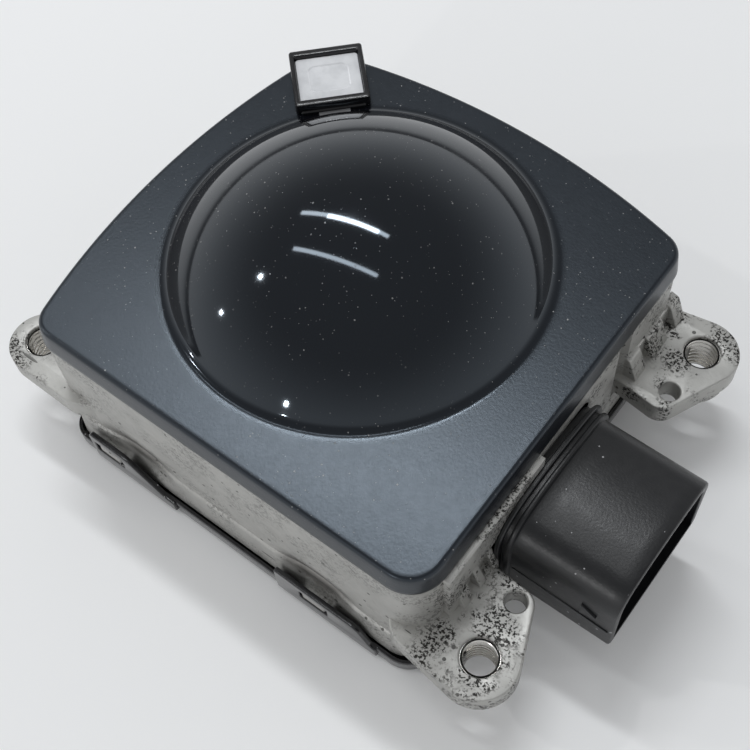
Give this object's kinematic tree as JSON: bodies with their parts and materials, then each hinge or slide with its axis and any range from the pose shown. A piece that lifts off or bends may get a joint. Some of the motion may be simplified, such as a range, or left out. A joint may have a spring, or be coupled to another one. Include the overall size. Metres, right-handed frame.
{
  "type": "radar sensor",
  "caption": "Vehicle distance radar sensor head: domed dielectric lens cover on a die-cast housing with screw ears, alignment mirror, sealed connector shroud and push-fit rear cover.",
  "frame": {"origin": "on the lens axis at the flat rear face that the object lies on", "axes": "+Z out of the dome, +X out of the connector mouth, +Y along the connector wall, away from the two snap tabs"},
  "size_m": [0.1037, 0.0758, 0.0474],
  "materials": {
    "front_cover": "satin black moulded plastic, dome polished",
    "dielectric_lens": "moulded dielectric, not seen from outside",
    "cover_seal": "silicone seal",
    "housing": "die-cast, grey with dark speckles",
    "thread_inserts": "bright thread",
    "rear_cover": "glossy black",
    "rear_cover_seal": "silicone seal",
    "pressure_vent": "grey vent plug",
    "mirror_frame": "black moulded plastic",
    "alignment_mirror": "flat mirror",
    "mirror_pad": "adhesive pad",
    "connector_housing": "fine-textured black plastic",
    "connector_seal": "silicone seal",
    "pin_carrier": "black plastic",
    "connector_pins": "tin-plated",
    "rf_board": "solder mask",
    "radar_chips": "moulded package",
    "feed_holder": "natural plastic",
    "feed_rods": "natural dielectric",
    "control_board": "solder mask",
    "control_chips": "moulded package",
    "capacitors": "aluminium can",
    "board_connector": "black plastic",
    "thermal_pads": "soft gap pad",
    "board_screws": "zinc-plated",
    "rf_screws": "zinc-plated"
  },
  "bodies": {
    "root": {"front_cover": "front_cover", "dielectric_lens": "dielectric_lens", "cover_seal": "cover_seal", "housing": "housing", "thread_inserts": "thread_inserts", "rear_cover": "rear_cover", "rear_cover_seal": "rear_cover_seal", "pressure_vent": "pressure_vent", "mirror_frame": "mirror_frame", "alignment_mirror": "alignment_mirror", "mirror_pad": "mirror_pad", "connector_housing": "connector_housing", "connector_seal": "connector_seal", "pin_carrier": "pin_carrier", "connector_pins": "connector_pins", "rf_board": "rf_board", "radar_chips": "radar_chips", "feed_holder": "feed_holder", "feed_rods": "feed_rods", "control_board": "control_board", "control_chips": "control_chips", "capacitors": "capacitors", "board_connector": "board_connector", "thermal_pads": "thermal_pads", "board_screws": "board_screws", "rf_screws": "rf_screws"}
  },
  "joints": []
}
